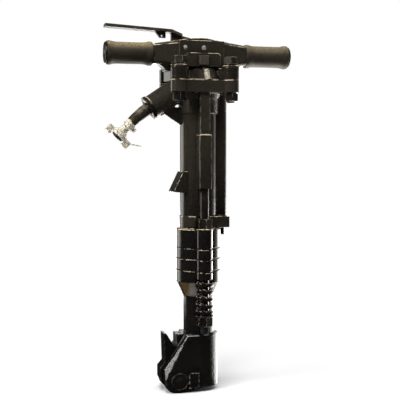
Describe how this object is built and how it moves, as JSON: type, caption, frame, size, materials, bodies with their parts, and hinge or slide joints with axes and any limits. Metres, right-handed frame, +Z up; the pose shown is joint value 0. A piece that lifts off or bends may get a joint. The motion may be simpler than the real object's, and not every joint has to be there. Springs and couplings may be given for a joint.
{
  "type": "jackhammer",
  "caption": "Pneumatic pavement breaker: cross handle with rubber grips and throttle lever, round cylinder, swivel air inlet, sprung side rods and a latch that holds the steel.",
  "frame": {"origin": "on the tool's vertical axis at the level of the foot of the latch housing", "axes": "+X along the handle away from the throttle lever's tip and the air inlet, +Y to the back, +Z up from the latch housing to the handle"},
  "size_m": [0.3634, 0.1312, 0.6965],
  "materials": {
    "black_paint": "gloss black paint on castings",
    "grip_rubber": "matt dark brown-grey rubber",
    "zinc_plate": "dull zinc plate",
    "bare_steel": "ground and oiled steel",
    "dark_steel": "blackened steel",
    "seal_rubber": "black rubber",
    "valve_brass": "plain brass"
  },
  "bodies": {
    "cylinder_body": {"cylinder": "black_paint", "exhaust_deflector": "black_paint", "backhead": "black_paint", "swivel_nut": "black_paint", "side_rod_jam_nut_front": "black_paint", "side_rod_nut_front": "black_paint", "side_rod_jam_nut_back": "black_paint", "side_rod_nut_back": "black_paint", "valve_seat": "bare_steel", "lever_pivot_pin": "bare_steel", "lever_stop_pin": "bare_steel", "throttle_valve_cap": "bare_steel", "passage_plug": "dark_steel", "valve_chest": "dark_steel", "oil_plug": "dark_steel", "end_cap_left": "dark_steel", "end_cap_right": "dark_steel", "throttle_valve_spring": "dark_steel", "side_rod_front": "dark_steel", "spring_washer_front": "dark_steel", "side_spring_front": "dark_steel", "side_rod_back": "dark_steel", "spring_washer_back": "dark_steel", "side_spring_back": "dark_steel", "backhead_bolt_front_left": "dark_steel", "backhead_nut_front_left": "dark_steel", "backhead_bolt_front_right": "dark_steel", "backhead_nut_front_right": "dark_steel", "backhead_bolt_back_left": "dark_steel", "backhead_nut_back_left": "dark_steel", "backhead_bolt_back_right": "dark_steel", "backhead_nut_back_right": "dark_steel", "inlet_lock_screw": "zinc_plate", "inlet_seal": "seal_rubber", "air_strainer": "valve_brass", "grip_left": "grip_rubber", "grip_right": "grip_rubber"},
    "throttle_lever_body": {"throttle_lever": "black_paint"},
    "throttle_pin_body": {"throttle_push_pin": "bare_steel"},
    "throttle_valve_body": {"throttle_valve": "valve_brass"},
    "piston_body": {"piston": "bare_steel"},
    "valve_plate_body": {"valve_plate": "bare_steel"},
    "fronthead_body": {"fronthead": "black_paint", "chuck_bushing": "bare_steel", "latch_housing": "black_paint", "latch_pin": "black_paint", "pin_keeper": "black_paint", "latch_plunger_spring": "dark_steel"},
    "latch_body": {"latch": "black_paint"},
    "plunger_body": {"latch_plunger": "bare_steel"},
    "inlet_body": {"inlet_pipe": "black_paint", "coupling_body": "zinc_plate", "coupling_seal": "seal_rubber", "clamp_screw": "zinc_plate"},
    "clip_body": {"safety_clip": "zinc_plate"}
  },
  "joints": [
    {"name": "throttle_lever_press", "type": "hinge", "parent": "cylinder_body", "child": "throttle_lever_body", "pos_m": [0.004, 0, 0.655], "axis": [0, -1, 0], "range_deg": [0, 5.8], "stiffness_Nm_per_rad": 6, "springref_deg": -11.46},
    {"name": "throttle_pin_slide", "type": "slide", "parent": "cylinder_body", "child": "throttle_pin_body", "axis": [0, 0, -1], "range_m": [0, 0.0019]},
    {"name": "throttle_valve_slide", "type": "slide", "parent": "cylinder_body", "child": "throttle_valve_body", "axis": [0, 0, -1], "range_m": [0, 0.0019], "deforming": ["throttle_valve_spring"]},
    {"name": "piston_stroke", "type": "slide", "parent": "cylinder_body", "child": "piston_body", "axis": [0, 0, 1], "range_m": [0, 0.12]},
    {"name": "valve_plate_shift", "type": "slide", "parent": "cylinder_body", "child": "valve_plate_body", "axis": [0, 0, 1], "range_m": [0, 0.003]},
    {"name": "fronthead_recoil", "type": "slide", "parent": "cylinder_body", "child": "fronthead_body", "axis": [0, 0, -1], "range_m": [0, 0.01], "stiffness_N_per_m": 20000, "springref_m": -0.009, "deforming": ["side_spring_front", "side_spring_back"]},
    {"name": "latch_swing", "type": "hinge", "parent": "fronthead_body", "child": "latch_body", "pos_m": [-0.046, 0, 0.0225], "axis": [0, -1, 0], "range_deg": [0, 30]},
    {"name": "latch_plunger_slide", "type": "slide", "parent": "fronthead_body", "child": "plunger_body", "axis": [0, 0, 1], "range_m": [0, 0.0022], "stiffness_N_per_m": 2000, "springref_m": -0.0015, "deforming": ["latch_plunger_spring"]},
    {"name": "inlet_swivel", "type": "hinge", "parent": "cylinder_body", "child": "inlet_body", "pos_m": [-0.093, 0, 0.543], "axis": [-0.848, 0, -0.5299], "range_deg": [-35, 35]},
    {"name": "safety_clip_swing", "type": "hinge", "parent": "inlet_body", "child": "clip_body", "pos_m": [-0.13794, 0, 0.47298], "axis": [0, -1, 0], "range_deg": [-40, 20]}
  ],
  "couplings": [
    {"joint": "throttle_pin_slide", "follows": "throttle_lever_press", "m_per_rad": 0.018},
    {"joint": "throttle_valve_slide", "follows": "throttle_lever_press", "m_per_rad": 0.018}
  ]
}
